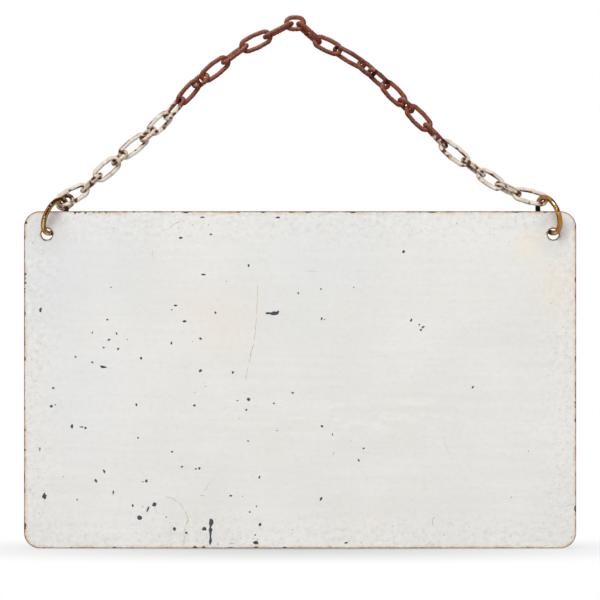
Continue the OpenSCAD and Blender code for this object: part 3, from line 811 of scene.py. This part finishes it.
def brass_material():
    """Old brass: golden, with painted highlight streaks, dark brown patina mixed with painted shade and dark
    reflection, and drawn scratches along the wire.
    """
    material, nodes, shader, coord = new_material("old_brass")
    # On a ring the four shares of MASKS are patina with painted shade and dark reflection, flecks of paint, ochre and
    # painted highlight
    dark, fleck, ochre, painted_highlight = wire_masks(nodes)
    fine = nodes.noise(coord, 2200, 4, 0.6)
    broad = nodes.noise(coord, 330, 3)
    around = nodes.math("MULTIPLY_ADD", fine, 0.5, -0.25)
    gold = nodes.mix_colour(nodes.ramp(broad, 0.35, 0.65), srgb(186, 132, 44), srgb(142, 94, 24))
    gold = nodes.over(gold, ochre, (190, 130, 64), 0.6)
    # Cream painted highlight streaks along the wire
    gold = nodes.over(gold, nodes.ramp(nodes.math("ADD", painted_highlight, around), 0.3, 0.6), (232, 206, 166))
    # Dark brown for patina, and as painted shade and dark reflection where the dark marks lie
    brown = nodes.mix_colour(nodes.ramp(fine, 0.4, 0.6), srgb(20, 9, 5), srgb(62, 34, 14))
    patina_and_shade = nodes.ramp(nodes.math("ADD", dark, around), 0.3, 0.66)
    colour = nodes.mix_colour(patina_and_shade, gold, brown)
    paint = nodes.ramp(nodes.math("ADD", fleck, around), 0.4, 0.6)
    colour = nodes.over(colour, paint, (226, 214, 198))
    bright = nodes.math("MULTIPLY_ADD", patina_and_shade, -0.8, 0.8)
    metal = nodes.math("MULTIPLY", bright, nodes.math("SUBTRACT", 1.0, paint))
    connect(nodes, shader, Base_Color=colour, Metallic=metal, Specular_IOR_Level=0.1,
            Roughness=nodes.math("MULTIPLY_ADD", patina_and_shade, 0.2, 0.34), Normal=nodes.bump(fine, 0.35, 0.0002))
    return material


# Depths on a ring's wire: lumps, drawn scratches, pits, the seam, with its half width, and the height of a fleck
RING_LUMP, RING_SCRATCH, RING_PIT, RING_FLECK = 0.02 * MM, 0.03 * MM, 0.02 * MM, 0.03 * MM
RING_SEAM_CUT, RING_SEAM_HALF = 0.3 * MM, 0.28 * MM
# Marks on the rings, seen from the front: kind, from and to in degrees about the ring's middle anticlockwise
# from the right, place across the wire from -1 inside to 1 outside, half width, strength. The dark marks are partly
# patina
# and partly painted light: dark cores are painted dark reflection, thin dark lines along the wire's edges are painted
# shade, and the full-width dark spans over the back of each ring are painted shadow behind the plate. The light streaks
# are painted highlight
RING_MARKS = {
    "left_ring": [
        ("dark", 68, 90, 0.0, 0.55, 0.9), ("dark", 86, 126, 0.1, 0.5, 1.0), ("dark", 122, 176, 0.0, 0.26, 0.9),
        ("fleck", 104, 112, 0.2, 0.2, 1.0), ("fleck", 119, 126, 0.15, 0.18, 0.9), ("fleck", 146, 151, 0.1, 0.14, 0.8),
        ("painted_highlight", 180, 228, 0.1, 0.16, 0.9), ("dark", 176, 236, -0.35, 0.08, 0.8), ("dark", 130, 240, 0.85, 0.16, 0.6),
        ("dark", 120, 240, -0.9, 0.14, 0.7), ("dark", 40, 76, -0.7, 0.25, 0.9), ("painted_highlight", 52, 74, 0.3, 0.12, 0.5),
        ("painted_highlight", 234, 246, 0.1, 0.4, 0.6), ("dark", 249, 410, 0.0, 2.0, 1.0),
    ],
    "right_ring": [
        ("dark", 70, 140, 0.85, 0.16, 0.8), ("dark", 60, 140, -0.9, 0.14, 0.7), ("painted_highlight", 53, 77, 0.0, 0.2, 1.0),
        ("dark", 25, 84, 0.62, 0.22, 1.0), ("dark", 58, 92, -0.5, 0.16, 0.7), ("dark", 45, 51, -0.2, 0.4, 1.0),
        ("fleck", 34, 41, -0.15, 0.16, 0.9), ("dark", 15, 33, 0.2, 0.14, 1.0), ("painted_highlight", 5, 22, 0.0, 0.1, 0.9),
        ("dark", -60, 30, 0.9, 0.12, 0.6), ("dark", -60, 20, -0.85, 0.14, 0.6), ("painted_highlight", 289, 300, 0.0, 0.35, 0.8),
        ("dark", 140, 286, 0.0, 2.0, 1.0), ("dark", 126, 150, 0.0, 0.8, 0.8),
    ],
}


def ring_marks(node, turn, across, front):
    """The ring's masks at a turn in degrees, a place across the wire and a share of facing front."""
    values = {"dark": 0.0, "fleck": 0.0, "painted_highlight": 0.0}
    for kind, start, end, middle, half, strength in RING_MARKS[node]:
        past = (turn - start) % 360
        span = end - start
        along = smooth(past, -0.01, 4) * smooth(span + 1 - past, 0, 4)
        beside = smooth(half * 1.6 - abs(across - middle), 0, half * 1.1)
        facing = front if half < 1 else 1.0
        values[kind] = max(values[kind], strength * along * beside * facing)
    return values


def make_ring(node, number, material):
    """A brass ring with its seam where the solid has it, and the marks that the photograph shows."""
    centre, long, wide, normal, points = mesh_frame(node)
    flat = np.c_[(points - centre) @ long, (points - centre) @ wide]
    radius = np.linalg.norm(flat, axis=1).max() - RING_WIRE_R
    off = np.hypot(np.linalg.norm(flat, axis=1) - radius, (points - centre) @ normal)
    seam_points = flat[off < RING_WIRE_R * 0.95]
    seam_at = math.atan2(*seam_points.mean(axis=0)[::-1]) if len(seam_points) else 0.0
    round_ring = 2 * math.pi * radius
    runs = np.concatenate([RING_SEAM_STEPS, np.linspace(RING_EVEN_FROM, round_ring - RING_EVEN_FROM, RING_STEPS),
                           round_ring - RING_SEAM_STEPS[:0:-1]])
    around = runs / radius
    path = np.c_[radius * np.cos(seam_at + around), radius * np.sin(seam_at + around)]
    outward = np.c_[np.cos(seam_at + around), np.sin(seam_at + around)]

    def cut(i, angle, ray, place):
        p = Vector(place)
        run = runs[i]
        spoke = outward[i][0] * long + outward[i][1] * wide
        along = np.cross(normal, spoke)
        beside = np.array([along[2], -along[0]]) / max(math.hypot(along[0], along[2]), 0.05)
        if beside[0] * spoke[0] + beside[1] * spoke[2] < 0:
            beside = -beside
        across = float(beside[0] * ray[0] + beside[1] * ray[2])
        turn = math.degrees(math.atan2(spoke[2], spoke[0]))
        marks = ring_marks(node, turn, across, smooth(-float(ray[1]), -0.4, 0.1))
        streak = noise.noise(Vector((run * 120, math.cos(angle) * 4, math.sin(angle) * 4 + number * 9)))
        thread = noise.noise(Vector((run * 260, math.cos(angle) * 9, math.sin(angle) * 9 + number * 5)))
        lump = noise.noise(p * 300)
        pit = noise.fractal(p * 1300, 0.9, 2.0, 3)
        seam = smooth(RING_SEAM_HALF - min(run, round_ring - run), 0, 0.1 * MM)
        # Patina, seam and scratches, and from the dark marks painted shade and dark reflection
        dark = marks["dark"] + seam + 0.35 * smooth(streak, 0.05, 0.5) + 0.3 * smooth(thread, 0.1, 0.5)
        depth = RING_LUMP * (1 + lump) + RING_SCRATCH * smooth(streak, 0.1, 0.5) + RING_PIT * max(pit, 0)
        depth += seam * RING_SEAM_CUT - marks["fleck"] * RING_FLECK
        return max(depth, 0.0), (min(dark, 1.0), marks["fleck"], 0.5 + 0.5 * lump, marks["painted_highlight"])

    piece = tube(node + "_wire", path, outward, (centre, long, wide, normal), RING_WIRE_R, material,
                 RING_SIDES, cut)
    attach(piece, node)
    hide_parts(node)


make_camera()
make_stage()
make_plate()
chain_materials = {True: wire_material("pitted_rust"), False: wire_material("cream_paint_on_wire")}
for number, node in enumerate(sorted(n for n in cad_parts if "link" in n)):
    make_link(node, number, chain_materials)
brass = brass_material()
for number, node in enumerate(("left_ring", "right_ring")):
    make_ring(node, number, brass)

bpy.context.scene.view_settings.view_transform = "Standard"
